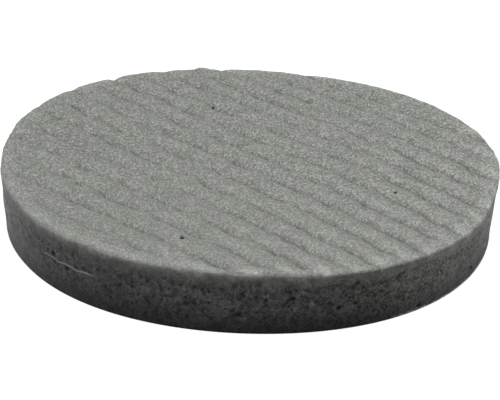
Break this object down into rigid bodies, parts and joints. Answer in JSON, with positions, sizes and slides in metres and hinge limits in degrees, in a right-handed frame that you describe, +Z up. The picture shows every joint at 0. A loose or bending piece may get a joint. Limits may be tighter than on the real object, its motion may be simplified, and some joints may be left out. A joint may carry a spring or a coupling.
{
  "type": "foam furniture glide",
  "caption": "Round foam pad for the underside of a furniture leg, with a softly ridged skin on top, a cut wall and a flat underside.",
  "frame": {"origin": "centre of the flat underside, on the surface that the pad rests on", "axes": "+Z up out of the ridged skin; the picture looks along +Y with +X to its right; the ridges run from the back left to the front right, 42.5 degrees off +X"},
  "size_m": [0.0395, 0.0395, 0.005],
  "materials": {
    "foam": "matte"
  },
  "bodies": {
    "root": {"foam_pad": "foam"}
  },
  "joints": []
}
